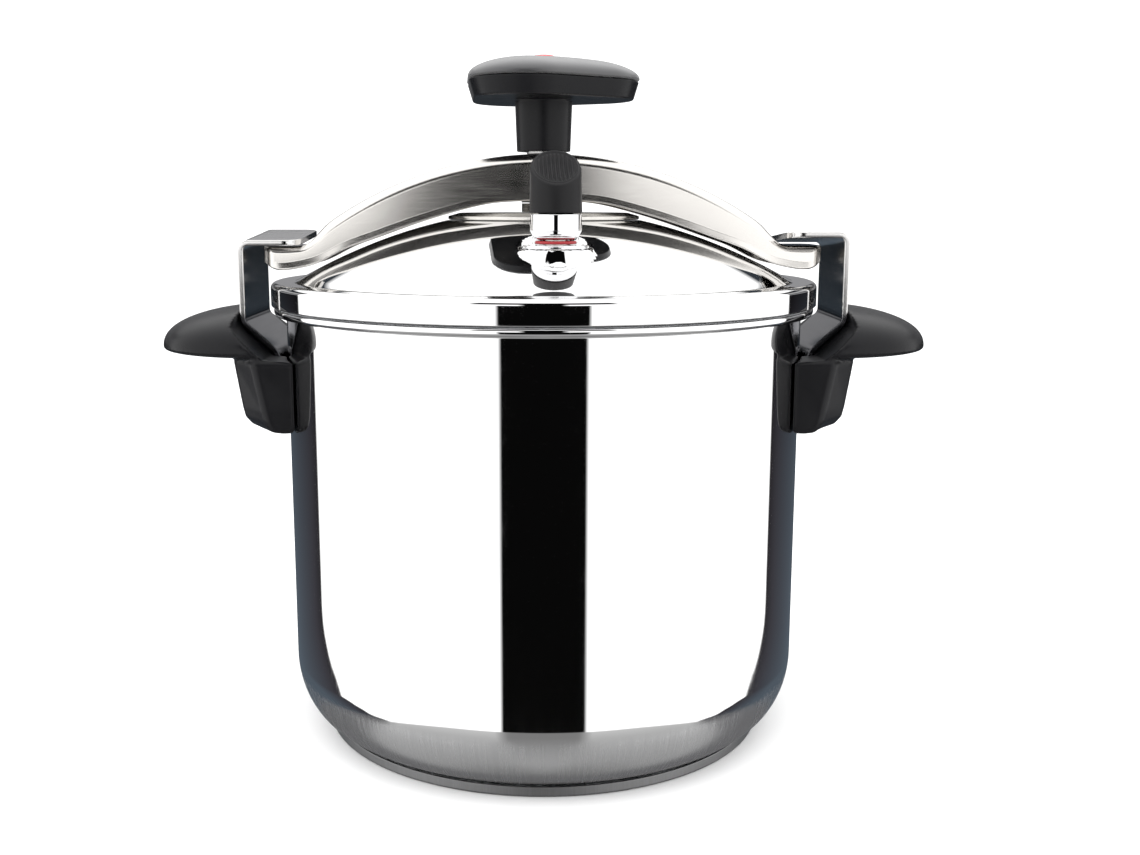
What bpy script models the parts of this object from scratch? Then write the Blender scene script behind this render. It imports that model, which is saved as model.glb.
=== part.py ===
"""Stovetop pressure cooker with a screw-down yoke lid.

Frame: +Z up, origin at the centre of the base's underside, handles along X,
pressure regulator on the -Y side. Lengths in this script are millimetres and
MM turns them into Blender's metres.
"""
import math

import bmesh
import bpy
from mathutils import Matrix

MM = 0.001
GAP = 0.3

# Pot
POT_R = 111.0
WALL = 1.0
CORNER_R = 19.0
CORNER_TOP = 33.0
POT_UNDERSIDE = 4.6
RIM_TOP = 185.3
RIM_BEAD_R = 116.0
RIM_BEAD_H = 3.6
BASE_R = 97.0
BASE_H = 4.2
BASE_SHEET = 0.7

# Lid
LID_R = 117.1
LID_SHEET = 0.9
SKIRT_BOTTOM = 185.7
SHOULDER_Z = 195.4
DOME_R = 106.0
DOME_TOP = 225.5
DOME_CURVE = 0.002644
LID_FLAT_R = 42.0
DISC_R = 41.3
DISC_TOP = 224.0
VALVE_OFFSET = 73.0
LID_TURN = math.radians(3.6)
PAD_TOP = 210.9
PAD_R = 13.6
PAD_STEP = 0.05
RELIEF_R = 5.5

# Yoke and its brackets
YOKE_TURN = math.radians(1.8)
YOKE_HALF_WIDTH = 21.5
YOKE_NARROWING = 5.5
YOKE_REACH = 119.0
YOKE_SHEET = 2.0
YOKE_TOP = 248.4
YOKE_ARCH_R = 161.0
YOKE_END_TOP = 210.2
YOKE_EDGE_R = 4.5
STRAP = 2.4
STRAP_HALF_WIDTH = 24.5
STRAP_OUTER_X = 128.0
FLANGE_TIP_X = 102.0
FLANGE_TOP = 214.6
FLANGE_RISE = 1.7
FLANGE_CORNER_R = 6.4

# Spindle and knob
SPINDLE_R = 6.0
COLLAR_R = 7.3
CUP_TOP = 228.0
STEM_BOTTOM = 249.8
KNOB_BOTTOM = 271.2
KNOB_SEAM = 279.0
KNOB_TOP = 288.5
BADGE_TOP = 290.0
BADGE_R = 5.2
LOBE_OFFSET = 17.0
LOBE_R = 24.0
KNOB_TURN = math.radians(4.0)

# Handles
GRIP_TIP_X = 165.2
GRIP_ROOT_X = 112.0
GRIP_HALF_WIDTH = 47.5
GRIP_EDGE_Z = 167.5
GRIP_CROWN = 17.5
GRIP_BELLY = 4.0
LEG_BOTTOM = 134.0
STUD_Z = 150.0
STUD_R = 3.0

# Vent, regulator and safety valve
PIPE_R = 4.0
NOZZLE_TOP = 220.0
WEIGHT_R = 9.9
WEIGHT_BOTTOM = 214.6
CAP_BOTTOM = 224.5
CAP_R = 10.0
CAP_TOP = 248.3
CAP_FACE_LOW = 234.7

# Places of the two valves on the lid, which is turned a little from the handles
FRONT = (VALVE_OFFSET * math.sin(LID_TURN), -VALVE_OFFSET * math.cos(LID_TURN), 0.0)
REAR = (-FRONT[0], -FRONT[1], 0.0)

LARGE_STEPS = 48
SMALL_STEPS = 24

STEEL = ("polished_steel", (0.80, 0.80, 0.81), 0.08, 1.0)
SATIN = ("satin_steel", (0.66, 0.65, 0.63), 0.30, 1.0)
ALUMINIUM = ("aluminium", (0.72, 0.73, 0.75), 0.40, 1.0)
CHROME = ("chrome", (0.86, 0.86, 0.88), 0.05, 1.0)
BRASS = ("brass", (0.75, 0.58, 0.30), 0.30, 1.0)
BAKELITE = ("bakelite", (0.025, 0.025, 0.028), 0.42, 0.0)
BADGE_RED = ("badge_red", (0.62, 0.04, 0.05), 0.35, 0.0)
SILICONE = ("red_silicone", (0.42, 0.03, 0.04), 0.50, 0.0)
GASKET = ("grey_silicone", (0.55, 0.56, 0.58), 0.60, 0.0)


# ---------------------------------------------------------------- helpers

def empty_scene():
    for thing in list(bpy.data.objects):
        bpy.data.objects.remove(thing, do_unlink=True)


def collection(name):
    group = bpy.data.collections.new(name)
    bpy.context.scene.collection.children.link(group)
    return group


def material(paint):
    name, colour, roughness, metallic = paint
    found = bpy.data.materials.get(name)
    if found:
        return found
    made = bpy.data.materials.new(name)
    made.use_nodes = True
    shader = made.node_tree.nodes["Principled BSDF"]
    shader.inputs["Base Color"].default_value = (*colour, 1.0)
    shader.inputs["Roughness"].default_value = roughness
    shader.inputs["Metallic"].default_value = metallic
    return made


def place_object(name, mesh, paint, location=(0.0, 0.0, 0.0)):
    """Put a mesh in the parts collection, or in the cutters when it has no paint."""
    thing = bpy.data.objects.new(name, mesh)
    thing.location = [value * MM for value in location]
    if paint:
        mesh.materials.append(material(paint))
        PARTS.objects.link(thing)
    else:
        CUTTERS.objects.link(thing)
        thing.hide_render = True
        thing.display_type = "WIRE"
    return thing


def arc(centre, radii, start, end, count):
    """Points on an ellipse's arc, angles in degrees, both ends included."""
    points = []
    for step in range(count + 1):
        angle = math.radians(start + (end - start) * step / count)
        points.append((centre[0] + radii[0] * math.cos(angle), centre[1] + radii[1] * math.sin(angle)))
    return points


def smooth_curve(points, x):
    """Height at x on a smooth line through points that run outward in x."""
    last = len(points) - 2
    index = max(i for i in range(last + 1) if points[i][0] <= x or i == 0)
    (x1, z1), (x2, z2) = points[index], points[index + 1]
    before = points[max(index - 1, 0)]
    after = points[min(index + 2, last + 1)]
    span = x2 - x1
    slope1 = (z2 - before[1]) / (x2 - before[0])
    slope2 = (after[1] - z1) / (after[0] - x1)
    t = (x - x1) / span
    return (
        (2 * t ** 3 - 3 * t ** 2 + 1) * z1
        + (t ** 3 - 2 * t ** 2 + t) * span * slope1
        + (3 * t ** 2 - 2 * t ** 3) * z2
        + (t ** 3 - t ** 2) * span * slope2
    )


def turned(name, outline, paint, steps=SMALL_STEPS, location=(0.0, 0.0, 0.0)):
    """Spin an outline of (radius, height) round Z; it runs down its outer side.

    An outline that starts on the axis is a solid, any other one is a ring.
    """
    corners = [(radius * MM, 0.0, height * MM) for radius, height in outline]
    edges = [(index, index + 1) for index in range(len(corners) - 1)]
    if outline[0][0] > 0:
        edges.append((len(corners) - 1, 0))
    mesh = bpy.data.meshes.new(name)
    mesh.from_pydata(corners, edges, [])
    thing = place_object(name, mesh, paint, location)
    screw = thing.modifiers.new("turn", "SCREW")
    screw.steps = steps
    screw.render_steps = steps
    screw.use_merge_vertices = True
    screw.merge_threshold = 0.000001
    screw.use_smooth_shade = True
    return thing


def tube(name, outer, inner, bottom, top, paint, **options):
    outline = [(outer, top), (outer, bottom), (inner, bottom), (inner, top)]
    return turned(name, outline, paint, **options)


def rod(name, radius, bottom, top, paint, **options):
    outline = [(0.0, top), (radius, top), (radius, bottom), (0.0, bottom)]
    return turned(name, outline, paint, **options)


def from_bmesh(name, form, paint, location=(0.0, 0.0, 0.0)):
    bmesh.ops.recalc_face_normals(form, faces=form.faces)
    mesh = bpy.data.meshes.new(name)
    form.to_mesh(mesh)
    form.free()
    mesh.shade_smooth()
    mesh.set_sharp_from_angle(angle=math.radians(35))
    return place_object(name, mesh, paint, location)


def combine(target, tool, operation="DIFFERENCE", solver="EXACT"):
    boolean = target.modifiers.new(operation.lower(), "BOOLEAN")
    boolean.solver = solver
    boolean.operation = operation
    boolean.object = tool


def loft(name, sections, paint, closed=True, capped=True):
    """Skin rows of (x, y, z) points, all the same length, into one surface."""
    form = bmesh.new()
    rows = [[form.verts.new([value * MM for value in point]) for point in row] for row in sections]
    count = len(rows[0])
    for row, following in zip(rows, rows[1:]):
        for index in range(count if closed else count - 1):
            after = (index + 1) % count
            form.faces.new((row[index], row[after], following[after], following[index]))
    if capped:
        form.faces.new(rows[0])
        form.faces.new(rows[-1])
    return from_bmesh(name, form, paint)


def solidify(thing, thickness):
    shell = thing.modifiers.new("sheet", "SOLIDIFY")
    shell.thickness = thickness * MM
    shell.offset = -1.0
    shell.use_even_offset = True


# ---------------------------------------------------------------- pot

def corner(offset, count=6):
    """Rounded lower corner of the wall, from the wall down to the bottom."""
    centre = (POT_R - CORNER_R, CORNER_TOP)
    height = CORNER_TOP - POT_UNDERSIDE
    return arc(centre, (CORNER_R - offset, height - offset), 0, -90, count)


def make_pot():
    bead_bottom = RIM_TOP - RIM_BEAD_H
    inside = [(0.0, POT_UNDERSIDE + WALL), *reversed(corner(WALL))]
    rim = [
        (POT_R - WALL, RIM_TOP),
        (RIM_BEAD_R - 0.8, RIM_TOP),
        (RIM_BEAD_R, RIM_TOP - 0.8),
        (RIM_BEAD_R, bead_bottom + 0.8),
        (RIM_BEAD_R - 0.8, bead_bottom),
        (POT_R + 1.2, bead_bottom),
        (POT_R, bead_bottom - 1.2),
    ]
    outside = [*corner(0.0), (0.0, POT_UNDERSIDE)]
    turned("pot_body", inside + rim + outside, STEEL, steps=LARGE_STEPS)


def make_base():
    """Capsule base: an aluminium disc held in a shallow steel cap."""
    cap = [
        (0.0, BASE_SHEET),
        (BASE_R - BASE_SHEET, BASE_SHEET),
        (BASE_R - BASE_SHEET, BASE_H),
        (BASE_R, BASE_H),
        (BASE_R, 0.8),
        (BASE_R - 0.8, 0.0),
        (0.0, 0.0),
    ]
    turned("base_cap", cap, SATIN, steps=LARGE_STEPS)
    core_r = BASE_R - BASE_SHEET - GAP
    rod("base_core", core_r, BASE_SHEET + GAP, BASE_H, ALUMINIUM, steps=LARGE_STEPS)


# ---------------------------------------------------------------- lid

def dome(radius):
    return DOME_TOP - DOME_CURVE * radius ** 2


def lid_outline(offset, bottom):
    """Lid surface as a solid of revolution, set in from the outside by offset."""
    flat = [(0.0, dome(LID_FLAT_R) - offset), (LID_FLAT_R, dome(LID_FLAT_R) - offset)]
    crown = [(radius, dome(radius) - offset) for radius in (53, 64, 75, 86, 96, DOME_R)]
    shoulder = arc((LID_R - 2.4, SHOULDER_Z - 2.4), (2.4 - offset, 2.4 - offset), 90, 0, 3)
    return [*flat, *crown, *shoulder, (LID_R - offset, bottom), (0.0, bottom)]


def lid_solid(name, offset, bottom, paint):
    """Domed solid with a flat round pad pressed in for each valve."""
    solid = turned(name, lid_outline(offset, bottom), paint, steps=LARGE_STEPS)
    top = PAD_TOP - offset
    for side, place in (("front", FRONT), ("rear", REAR)):
        rise = rod(f"{name}_rise_{side}", PAD_R + LID_SHEET - offset, 190.0, top, None, location=place)
        combine(solid, rise, "UNION", "MANIFOLD")
        dip = rod(f"{name}_dip_{side}", PAD_R + offset, top - PAD_STEP, 240.0, None, location=place)
        combine(solid, dip, solver="MANIFOLD")
    return solid


def make_lid():
    lid = lid_solid("lid", 0.0, SKIRT_BOTTOM, STEEL)
    combine(lid, lid_solid("lid_inside", LID_SHEET, SKIRT_BOTTOM - 10.0, None), solver="MANIFOLD")
    for side, place, radius in (("front", FRONT, PIPE_R), ("rear", REAR, RELIEF_R)):
        hole = rod(f"lid_hole_{side}", radius + GAP, 190.0, 240.0, None, location=place)
        combine(lid, hole, solver="MANIFOLD")


def make_gasket():
    """Seal between the pot's rim and the lid, with a lip open to the pressure."""
    outer = LID_R - LID_SHEET - GAP - 0.1
    top = SHOULDER_Z - LID_SHEET - GAP - 0.9
    bottom = RIM_TOP + GAP + 0.1
    outline = [
        (107.0, top),
        (outer - 1.2, top),
        (outer, top - 1.2),
        (outer, bottom),
        (105.5, bottom),
        (105.5, bottom + 1.4),
        (112.0, bottom + 2.4),
        (112.0, top - 2.4),
        (107.0, top - 1.6),
    ]
    turned("lid_gasket", outline, GASKET, steps=LARGE_STEPS)


def make_centre_hardware():
    """Load disc on the lid, and the seat that holds the spindle's end."""
    disc_bottom = dome(LID_FLAT_R) + GAP
    disc = [
        (0.0, DISC_TOP),
        (DISC_R - 5.0, DISC_TOP),
        (DISC_R, DISC_TOP - 1.4),
        (DISC_R, disc_bottom),
        (0.0, disc_bottom),
    ]
    turned("pressure_disc", disc, SATIN, steps=LARGE_STEPS)
    floor = DISC_TOP + GAP
    cup = [
        (0.0, floor + 1.0),
        (SPINDLE_R + GAP, floor + 1.0),
        (SPINDLE_R + GAP, CUP_TOP),
        (9.5, CUP_TOP),
        (9.5, floor),
        (0.0, floor),
    ]
    turned("spindle_seat", cup, SATIN)
    tube("seat_retaining_ring", 9.5, 4.6, CUP_TOP + GAP, CUP_TOP + 1.5, SATIN)


# ---------------------------------------------------------------- yoke

def yoke_top(x):
    """Top line: one arch, then a bend down to the flat end."""
    arch_end = 88.0
    if x <= arch_end:
        return YOKE_TOP - YOKE_ARCH_R + math.sqrt(YOKE_ARCH_R ** 2 - x ** 2)
    bend = [(arch_end, yoke_top(arch_end)), (94.5, 217.2), (97.8, 212.6), (101.6, YOKE_END_TOP)]
    return smooth_curve(bend, x) if x < bend[-1][0] else YOKE_END_TOP


def yoke_bottom(x):
    edge = [
        (0.0, 229.2),
        (25.0, 227.6),
        (40.0, 223.9),
        (57.0, 218.7),
        (71.0, 213.7),
        (85.0, 208.6),
        (95.5, 203.2),
        (103.0, 201.2),
        (115.5, 201.2),
        (YOKE_REACH, 204.2),
    ]
    return smooth_curve(edge, x)


def yoke_section(x):
    """One rib of the channel's outer skin, from its front edge over the top."""
    top = yoke_top(abs(x))
    bottom = yoke_bottom(abs(x))
    half = YOKE_HALF_WIDTH - YOKE_NARROWING * (x / YOKE_REACH) ** 2
    right = arc((half - YOKE_EDGE_R, top - YOKE_EDGE_R), (YOKE_EDGE_R, YOKE_EDGE_R), 90, 0, 3)
    right.append((half, bottom))
    left = [(-y, z) for y, z in reversed(right)]
    return [(x, y, z) for y, z in left + right]


def make_yoke():
    half = [0, 13, 26, 38, 49, 59, 68, 76, 83, 88, 92, 95, 97.8, 101.6, 106, 111, 115.5, 117.5, YOKE_REACH]
    stations = [-x for x in reversed(half[1:])] + half
    yoke = loft("yoke", [yoke_section(x) for x in stations], SATIN, closed=False, capped=False)
    solidify(yoke, YOKE_SHEET)
    yoke.rotation_euler.z = YOKE_TURN
    hole = rod("yoke_hole", SPINDLE_R + 2 * GAP, 240.0, 260.0, None)
    combine(yoke, hole)
    nut_top = YOKE_TOP - YOKE_SHEET - 1.0
    tube("yoke_nut", 13.0, SPINDLE_R + GAP, 231.5, nut_top, SATIN)


# ---------------------------------------------------------------- brackets

def bracket_path():
    """Outer face of one strap as (x, z), from the flange's tip to its foot."""
    bend = 4.6
    flange = [(x, FLANGE_TOP) for x in (FLANGE_TIP_X, 102.6, 104.2, 108.4, 116.0)]
    top_bend = arc((STRAP_OUTER_X - bend, FLANGE_TOP - bend), (bend, bend), 90, 0, 4)
    knee = [(STRAP_OUTER_X, 180.5), (STRAP_OUTER_X - 0.9, 177.6)]
    foot_x = POT_R + GAP + STRAP
    slope = [(STRAP_OUTER_X - 3.2, 175.3), (foot_x + 1.6, 166.4), (foot_x + 0.2, 164.6), (foot_x, 162.5)]
    return flange + top_bend + knee + slope + [(foot_x, 141.0)]


def bracket_section(x, z):
    """A row of points across the strap; the flange climbs towards its -Y side."""
    half = STRAP_HALF_WIDTH
    into_corner = min(FLANGE_TIP_X + FLANGE_CORNER_R - x, FLANGE_CORNER_R)
    if into_corner > 0:
        half -= FLANGE_CORNER_R - math.sqrt(FLANGE_CORNER_R ** 2 - into_corner ** 2)
    climb = FLANGE_RISE / STRAP_HALF_WIDTH if z > 185.0 else 0.0
    return [(x, side * half, z - climb * side * half) for side in (-1.0, -0.5, 0.0, 0.5, 1.0)]


def make_bracket(side, turn):
    sections = [bracket_section(x, z) for x, z in bracket_path()]
    bracket = loft(f"bracket_{side}", sections, SATIN, closed=False, capped=False)
    solidify(bracket, STRAP)
    bracket.rotation_euler.z = turn
    return bracket


# ---------------------------------------------------------------- handles

def grip_form():
    """Rounded wing: a superellipsoid, high above its edge and shallow below."""
    form = bmesh.new()
    bmesh.ops.create_uvsphere(form, u_segments=28, v_segments=14, radius=1.0)
    reach = GRIP_TIP_X - GRIP_ROOT_X
    for vert in form.verts:
        x, y, z = (math.copysign(abs(value) ** 0.86, value) for value in vert.co)
        vert.co = (
            (GRIP_ROOT_X + reach * x) * MM,
            GRIP_HALF_WIDTH * y * MM,
            (GRIP_EDGE_Z + (GRIP_CROWN if z > 0 else GRIP_BELLY) * z) * MM,
        )
    return form


def leg_section(z, inner, ridge, outer, width):
    """Plan outline of the leg at one height, facing +X."""
    front = [
        (inner, width - 2.8),
        (ridge, width),
        (ridge + 2.0, width - 1.2),
        (outer - 1.0, width - 14.5),
        (outer, width - 17.0),
    ]
    back = [(x, -y) for x, y in reversed(front)]
    return [(x, y, z) for x, y in front + back]


def make_leg(name):
    rows = [
        leg_section(LEG_BOTTOM, 99.0, 107.0, 111.0, 42.0),
        leg_section(LEG_BOTTOM + 0.8, 99.0, 109.5, 118.5, 45.0),
        leg_section(LEG_BOTTOM + 2.5, 99.0, 111.0, 123.5, 46.3),
        leg_section(LEG_BOTTOM + 5.5, 99.0, 112.5, 126.0, 46.8),
        leg_section(LEG_BOTTOM + 10.0, 99.0, 113.6, 127.0, 47.0),
        leg_section(163.0, 99.0, 117.4, 130.0, 47.0),
        leg_section(172.0, 99.0, 116.0, 126.0, 42.0),
    ]
    return loft(name, rows, None)


def make_handle(side, turn):
    handle = from_bmesh(f"handle_{side}", grip_form(), BAKELITE)
    tools = [
        (make_leg(f"leg_{side}"), "UNION"),
        (rod(f"pot_clearance_{side}", POT_R + 0.5, 100.0, 200.0, None, steps=LARGE_STEPS), "DIFFERENCE"),
        (strap_clearance(side, turn), "DIFFERENCE"),
        (cross_rod(f"stud_hole_{side}", STUD_R + GAP, 105.0, 135.0), "DIFFERENCE"),
        (cross_rod(f"nut_recess_{side}", 6.2, 119.0, 140.0), "DIFFERENCE"),
    ]
    handle.rotation_euler.z = turn
    for tool, operation in tools:
        tool.rotation_euler.z = turn
        combine(handle, tool, operation)


def strap_clearance(side, turn):
    """Wedge that opens the handle's inner top for the strap."""
    foot = POT_R + STRAP + 2 * GAP + 0.2
    path = [
        (100.0, 195.0),
        (STRAP_OUTER_X + 0.5, 195.0),
        (STRAP_OUTER_X + 0.5, 177.6),
        (foot + 0.9, 165.0),
        (foot, 163.0),
        (foot, 140.4),
        (100.0, 140.4),
    ]
    wide = [[(x, y, z) for x, z in path[:4] + [(100.0, 163.5)]] for y in (-60.0, 60.0)]
    narrow = [[(x, y, z) for x, z in path] for y in (-STRAP_HALF_WIDTH - 0.6, STRAP_HALF_WIDTH + 0.6)]
    wedge = loft(f"wedge_{side}", wide, None)
    wedge.rotation_euler.z = turn
    slot = loft(f"strap_slot_{side}", narrow, None)
    combine(slot, wedge, "UNION")
    return slot


def cross_rod(name, radius, start, end, paint=None):
    """Cylinder along X at the stud's height."""
    form = bmesh.new()
    lay_down = Matrix.Rotation(math.pi / 2, 4, "Y")
    centre = Matrix.Translation(((start + end) / 2 * MM, 0.0, STUD_Z * MM))
    bmesh.ops.create_cone(
        form, cap_ends=True, segments=20, radius1=radius * MM, radius2=radius * MM,
        depth=(end - start) * MM, matrix=centre @ lay_down,
    )
    return from_bmesh(name, form, paint)


def make_handle_fastener(side, turn):
    stud = cross_rod(f"handle_stud_{side}", STUD_R, POT_R + STRAP + 2 * GAP, 123.6, SATIN)
    nut = cross_rod(f"handle_nut_{side}", 5.4, 119.3, 124.0, CHROME)
    bore = cross_rod(f"nut_bore_{side}", STUD_R + GAP, 118.0, 126.0)
    for thing in (stud, nut, bore):
        thing.rotation_euler.z = turn
    combine(nut, bore)


# ---------------------------------------------------------------- knob

def knob_ring(radius, z, points=7):
    """Outline of the three-lobed knob for one lobe radius."""
    ring = []
    for lobe in range(3):
        middle = KNOB_TURN + lobe * 2 * math.pi / 3
        for step in range(points):
            angle = middle + math.radians(-60 + 120 * step / (points - 1))
            x = LOBE_OFFSET * math.cos(middle) + radius * math.cos(angle)
            y = LOBE_OFFSET * math.sin(middle) + radius * math.sin(angle)
            ring.append((x, y, z))
    return ring


def make_knob_body():
    rows = [
        knob_ring(LOBE_R - 2.6, KNOB_BOTTOM),
        knob_ring(LOBE_R - 1.6, KNOB_BOTTOM + 0.8),
        knob_ring(LOBE_R - 0.3, KNOB_SEAM - 0.8),
        knob_ring(LOBE_R - 0.6, KNOB_SEAM),
    ]
    body = loft("knob_body", rows, BAKELITE)
    stem = [
        (0.0, KNOB_BOTTOM + 3.0),
        (12.4, KNOB_BOTTOM + 3.0),
        (11.5, STEM_BOTTOM),
        (0.0, STEM_BOTTOM),
    ]
    combine(body, turned("stem", stem, None), "UNION")
    bore = [
        (0.0, KNOB_SEAM + 2.0),
        (5.4, KNOB_SEAM + 2.0),
        (5.4, 275.3),
        (2.8, 275.3),
        (2.8, 272.4),
        (4.8, 272.4),
        (4.8, 262.4),
        (SPINDLE_R + GAP, 262.4),
        (SPINDLE_R + GAP, 252.4),
        (COLLAR_R + 0.4, 252.4),
        (COLLAR_R + 0.4, STEM_BOTTOM - 2.0),
        (0.0, STEM_BOTTOM - 2.0),
    ]
    combine(body, turned("knob_bore", bore, None))


def make_knob_cover():
    """Domed cap over the knob, with a round seat for the badge."""
    rise = KNOB_TOP - KNOB_SEAM - GAP
    rows = []
    for angle in (0, 16, 32, 48, 64, 80):
        level = math.radians(angle)
        rows.append(knob_ring(LOBE_R * math.cos(level), KNOB_SEAM + GAP + rise * math.sin(level)))
    rows.append([(x * 0.45, y * 0.45, KNOB_TOP) for x, y, _ in rows[-1]])
    cover = loft("knob_cover", rows, BAKELITE)
    hollow = knob_ring(LOBE_R - 2.4, KNOB_SEAM - 1.0), knob_ring(LOBE_R - 7.0, KNOB_SEAM + 6.4)
    combine(cover, loft("cover_hollow", hollow, None))
    combine(cover, rod("badge_seat", BADGE_R + 0.4, KNOB_TOP - 0.8, KNOB_TOP + 5.0, None))


def make_knob_inner_parts():
    badge = [
        (0.0, BADGE_TOP),
        (BADGE_R - 0.8, BADGE_TOP - 0.2),
        (BADGE_R, BADGE_TOP - 0.8),
        (BADGE_R, KNOB_TOP - 0.5),
        (0.0, KNOB_TOP - 0.5),
    ]
    turned("knob_badge", badge, BADGE_RED)
    screw = [
        (0.0, 278.4),
        (5.0, 278.4),
        (5.0, 275.6),
        (2.4, 275.6),
        (2.4, 262.0),
        (0.0, 262.0),
    ]
    turned("knob_screw", screw, CHROME)
    spindle = [
        (0.0, 272.0),
        (4.5, 272.0),
        (4.5, 262.0),
        (SPINDLE_R, 262.0),
        (SPINDLE_R, 252.0),
        (COLLAR_R, 252.0),
        (COLLAR_R, YOKE_TOP + 0.5),
        (SPINDLE_R, YOKE_TOP + 0.5),
        (SPINDLE_R, 230.0),
        (4.2, 230.0),
        (4.2, CUP_TOP),
        (SPINDLE_R - 0.1, CUP_TOP),
        (SPINDLE_R - 0.1, 226.4),
        (4.9, 225.6),
        (0.0, 225.6),
    ]
    tap = rod("spindle_tap", 2.7, 261.0, 280.0, None)
    shaft = turned("spindle", spindle, SATIN)
    combine(shaft, tap)


# ---------------------------------------------------------------- valves

def hex_nut(name, corner_r, bore_r, bottom, top, location):
    nut = rod(name, corner_r, bottom, top, SATIN, steps=6, location=location)
    combine(nut, rod(f"{name}_bore", bore_r, bottom - 1.0, top + 1.0, None, location=location))


def make_vent():
    pipe = [
        (1.0, NOZZLE_TOP),
        (1.9, NOZZLE_TOP),
        (3.2, 215.5),
        (PIPE_R, 215.0),
        (PIPE_R, 202.5),
        (1.0, 202.5),
    ]
    turned("vent_pipe", pipe, SATIN, location=FRONT)
    flange = [
        (11.6, PAD_TOP + 1.7),
        (12.7, PAD_TOP + 1.1),
        (12.7, PAD_TOP + GAP),
        (PIPE_R + GAP, PAD_TOP + GAP),
        (PIPE_R + GAP, PAD_TOP + 1.7),
    ]
    turned("vent_flange", flange, CHROME, location=FRONT)
    tube("vent_seal_ring", 9.2, 6.0, PAD_TOP + 2.0, PAD_TOP + 3.4, SILICONE, location=FRONT)
    pad_underside = PAD_TOP - LID_SHEET
    hex_nut("vent_nut", 7.4, PIPE_R + GAP, pad_underside - 4.6, pad_underside - GAP, location=FRONT)


def make_regulator():
    plunger = [
        (0.0, 223.7),
        (4.4, 223.7),
        (4.4, 221.4),
        (1.4, NOZZLE_TOP + GAP),
        (0.0, NOZZLE_TOP + GAP),
    ]
    turned("valve_plunger", plunger, SATIN, location=FRONT)
    weight = [
        (0.0, 231.5),
        (6.5, 231.5),
        (6.5, CAP_BOTTOM - GAP),
        (WEIGHT_R, CAP_BOTTOM - GAP),
        (WEIGHT_R, 217.2),
        (8.3, WEIGHT_BOTTOM),
        (4.8, WEIGHT_BOTTOM),
        (4.8, 224.0),
        (0.0, 224.0),
    ]
    turned("valve_weight", weight, CHROME, location=FRONT)
    cap = [
        (0.0, CAP_TOP),
        (CAP_R - 0.4, CAP_TOP),
        (CAP_R - 0.4, 236.0),
        (CAP_R, CAP_BOTTOM),
        (6.8, CAP_BOTTOM),
        (6.8, 231.8),
        (0.0, 231.8),
    ]
    valve_cap = turned("valve_cap", cap, BAKELITE, location=FRONT)
    combine(valve_cap, thumb_face_cutter())


def thumb_face_cutter():
    """Block whose lower face is the slanted thumb face of the cap."""
    reach = CAP_R + 2.0
    slope = (CAP_TOP - CAP_FACE_LOW) / (2 * (CAP_R - 0.4))
    middle = (CAP_TOP + CAP_FACE_LOW) / 2
    rows = []
    for x in (-reach, reach):
        low = [(x, y, middle + slope * y) for y in (-reach, reach)]
        high = [(x, y, 265.0) for y in (reach, -reach)]
        rows.append(low + high)
    cutter = loft("thumb_face", rows, None)
    cutter.location = [value * MM for value in FRONT]
    return cutter


def make_safety_valve():
    pad_underside = PAD_TOP - LID_SHEET
    body = [
        (6.4, 218.6),
        (6.8, 218.0),
        (6.8, PAD_TOP + 3.4),
        (8.4, PAD_TOP + 2.6),
        (8.4, PAD_TOP + GAP),
        (5.5, PAD_TOP + GAP),
        (5.5, 203.0),
        (1.6, 203.0),
        (1.6, 206.0),
        (4.6, 206.0),
        (4.6, 218.6),
    ]
    turned("safety_valve_body", body, CHROME, location=REAR)
    hex_nut("safety_valve_nut", 9.4, 5.8, pad_underside - 4.0, pad_underside - GAP, location=REAR)
    cap = [(5.4, 220.6), (6.6, 219.8), (6.6, 218.9), (2.6, 218.9), (2.6, 220.6)]
    turned("safety_valve_cap", cap, CHROME, location=REAR)
    pin = [
        (0.0, 222.4),
        (1.6, 222.4),
        (2.2, 221.8),
        (2.2, 208.0),
        (4.2, 208.0),
        (4.2, 206.3),
        (0.0, 206.3),
    ]
    turned("safety_valve_pin", pin, BRASS, location=REAR)
    make_spring("safety_valve_spring", 208.75, 218.15)


def make_spring(name, bottom, top, radius=3.4, wire=0.35, turns=5, per_turn=10):
    """Compression spring as a wire along a helix."""
    curve = bpy.data.curves.new(name, "CURVE")
    curve.dimensions = "3D"
    curve.bevel_depth = wire * MM
    curve.bevel_resolution = 1
    curve.use_fill_caps = True
    spline = curve.splines.new("POLY")
    count = turns * per_turn
    spline.points.add(count)
    for index, point in enumerate(spline.points):
        angle = 2 * math.pi * index / per_turn
        height = bottom + (top - bottom) * index / count
        point.co = (radius * MM * math.cos(angle), radius * MM * math.sin(angle), height * MM, 1.0)
    curve.materials.append(material(SATIN))
    spring = bpy.data.objects.new(name, curve)
    spring.location = [value * MM for value in REAR]
    PARTS.objects.link(spring)


# ---------------------------------------------------------------- assembly

empty_scene()
PARTS = collection("pressure_cooker")
CUTTERS = collection("cutters")

make_pot()
make_base()
make_lid()
make_gasket()
make_centre_hardware()
make_yoke()
for side_name, half_turn in (("right", 0.0), ("left", math.pi)):
    make_bracket(side_name, half_turn)
    make_handle(side_name, half_turn)
    make_handle_fastener(side_name, half_turn)
make_knob_body()
make_knob_cover()
make_knob_inner_parts()
make_vent()
make_regulator()
make_safety_valve()
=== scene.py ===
"""Looks of the stovetop pressure cooker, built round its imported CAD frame.

Lengths in this script are millimetres; MM turns them into metres. The row frame
has +Z up, the handles along X and the pressure regulator on the -Y side.
"""

import math

import bmesh
import bpy
import numpy as np
from mathutils import Matrix, Vector


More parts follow.
